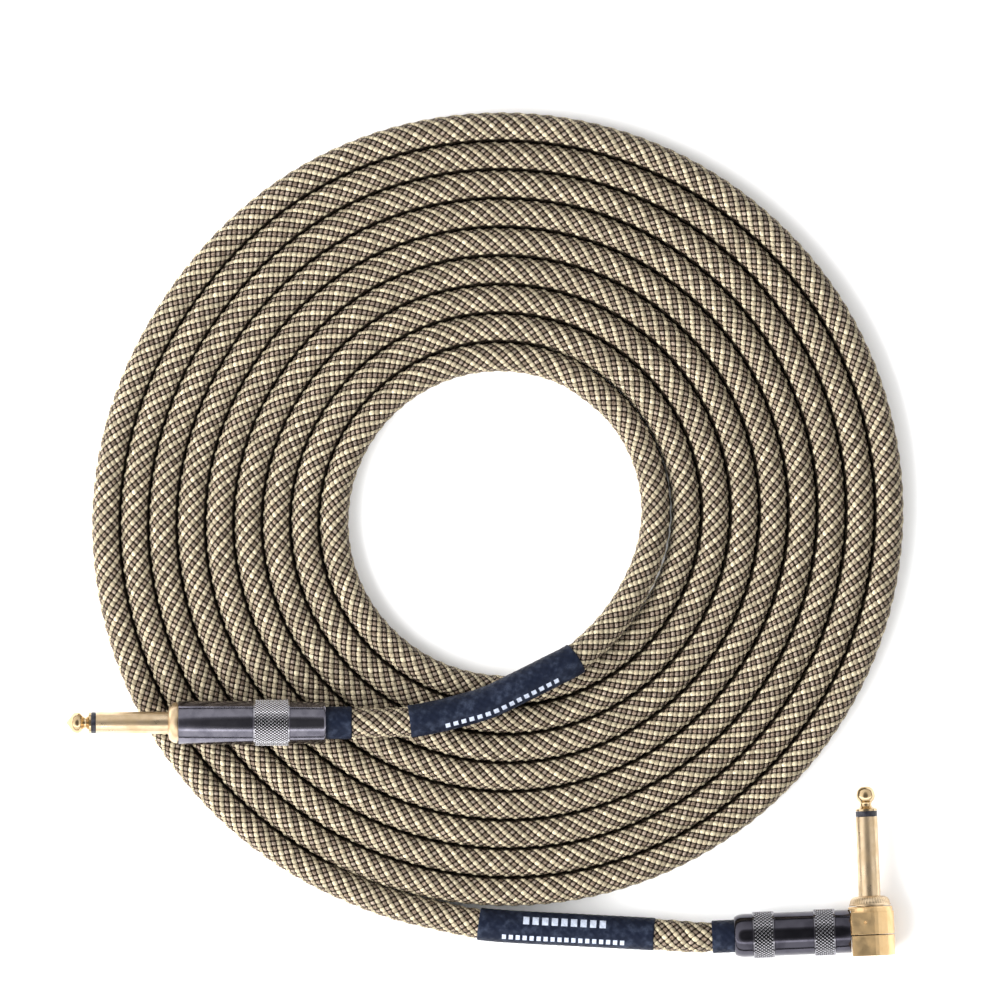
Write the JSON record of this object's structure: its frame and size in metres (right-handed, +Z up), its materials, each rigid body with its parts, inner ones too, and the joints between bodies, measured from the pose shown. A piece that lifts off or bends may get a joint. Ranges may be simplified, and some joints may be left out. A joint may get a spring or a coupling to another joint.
{
  "type": "instrument cable",
  "caption": "Woven instrument cable lying in a flat spiral coil, with a straight jack plug on its inner end and a right-angle jack plug on its outer end.",
  "frame": {"origin": "on the surface the cable lies on, under the middle of the whole cable's box", "axes": "+Z up out of the flat coil; the straight plug's tip points along -X; the right-angle plug's pin points along +Y, turned 2.34 degrees towards -X"},
  "size_m": [0.2403, 0.2429, 0.0218],
  "materials": {
    "woven_jacket": "woven tweed, cream and dark brown",
    "heat_shrink": "matte blue-black shrink tube",
    "gold_plate": "bright gold plating",
    "gunmetal": "bright black nickel with a diamond knurl",
    "insulator": "black",
    "fibre": "red-brown fibre board",
    "bare_brass": "bare brass",
    "copper": "bare copper strand",
    "solder": "dull grey solder",
    "inner_jacket": "black rubber",
    "core_insulation": "milky polyethylene",
    "liner": "clear tube"
  },
  "bodies": {
    "cable": {"angle_body": "gold_plate", "angle_boot": "heat_shrink", "angle_cap": "gold_plate", "angle_core_insulation": "core_insulation", "angle_core_solder": "solder", "angle_core_wire": "copper", "angle_ground_clamp": "bare_brass", "angle_jacket_end": "inner_jacket", "angle_pin_sleeve": "gold_plate", "angle_shield_drain": "copper", "angle_shield_solder": "solder", "angle_tip": "gold_plate", "angle_tip_insulator": "insulator", "angle_tip_lug": "bare_brass", "angle_washer": "fibre", "cable_coil": "woven_jacket", "inner_label_sleeve": "heat_shrink", "inner_lead": "woven_jacket", "outer_label_sleeve": "heat_shrink", "outer_lead": "woven_jacket", "straight_body": "gold_plate", "straight_boot": "heat_shrink", "straight_core_insulation": "core_insulation", "straight_core_solder": "solder", "straight_core_wire": "copper", "straight_ground_clamp": "bare_brass", "straight_jacket_end": "inner_jacket", "straight_shield_drain": "copper", "straight_shield_solder": "solder", "straight_tip": "gold_plate", "straight_tip_insulator": "insulator", "straight_tip_lug": "bare_brass", "straight_washer": "fibre"},
    "straight_liner_body": {"straight_liner": "liner"},
    "straight_shell_body": {"straight_shell": "gunmetal"},
    "angle_liner_body": {"angle_liner": "liner"},
    "angle_shell_body": {"angle_shell": "gunmetal"}
  },
  "joints": [
    {"name": "straight_shell_run", "type": "slide", "parent": "cable", "child": "straight_liner_body", "axis": [1, 0, 0], "range_m": [0, 0.0056]},
    {"name": "straight_shell_turn", "type": "hinge", "parent": "straight_liner_body", "child": "straight_shell_body", "pos_m": [-0.08799, -0.05374, 0.0152], "axis": [1, 0, 0], "range_deg": [0, 2520]},
    {"name": "angle_shell_run", "type": "slide", "parent": "cable", "child": "angle_liner_body", "axis": [-0.9992, -0.0408, 0], "range_m": [0, 0.0048]},
    {"name": "angle_shell_turn", "type": "hinge", "parent": "angle_liner_body", "child": "angle_shell_body", "pos_m": [0.10509, -0.1137, 0.0067], "axis": [-0.9992, -0.0408, 0], "range_deg": [0, 2160]}
  ],
  "couplings": [
    {"joint": "straight_shell_turn", "follows": "straight_shell_run", "rad_per_m": 7854},
    {"joint": "angle_shell_turn", "follows": "angle_shell_run", "rad_per_m": 7854}
  ]
}
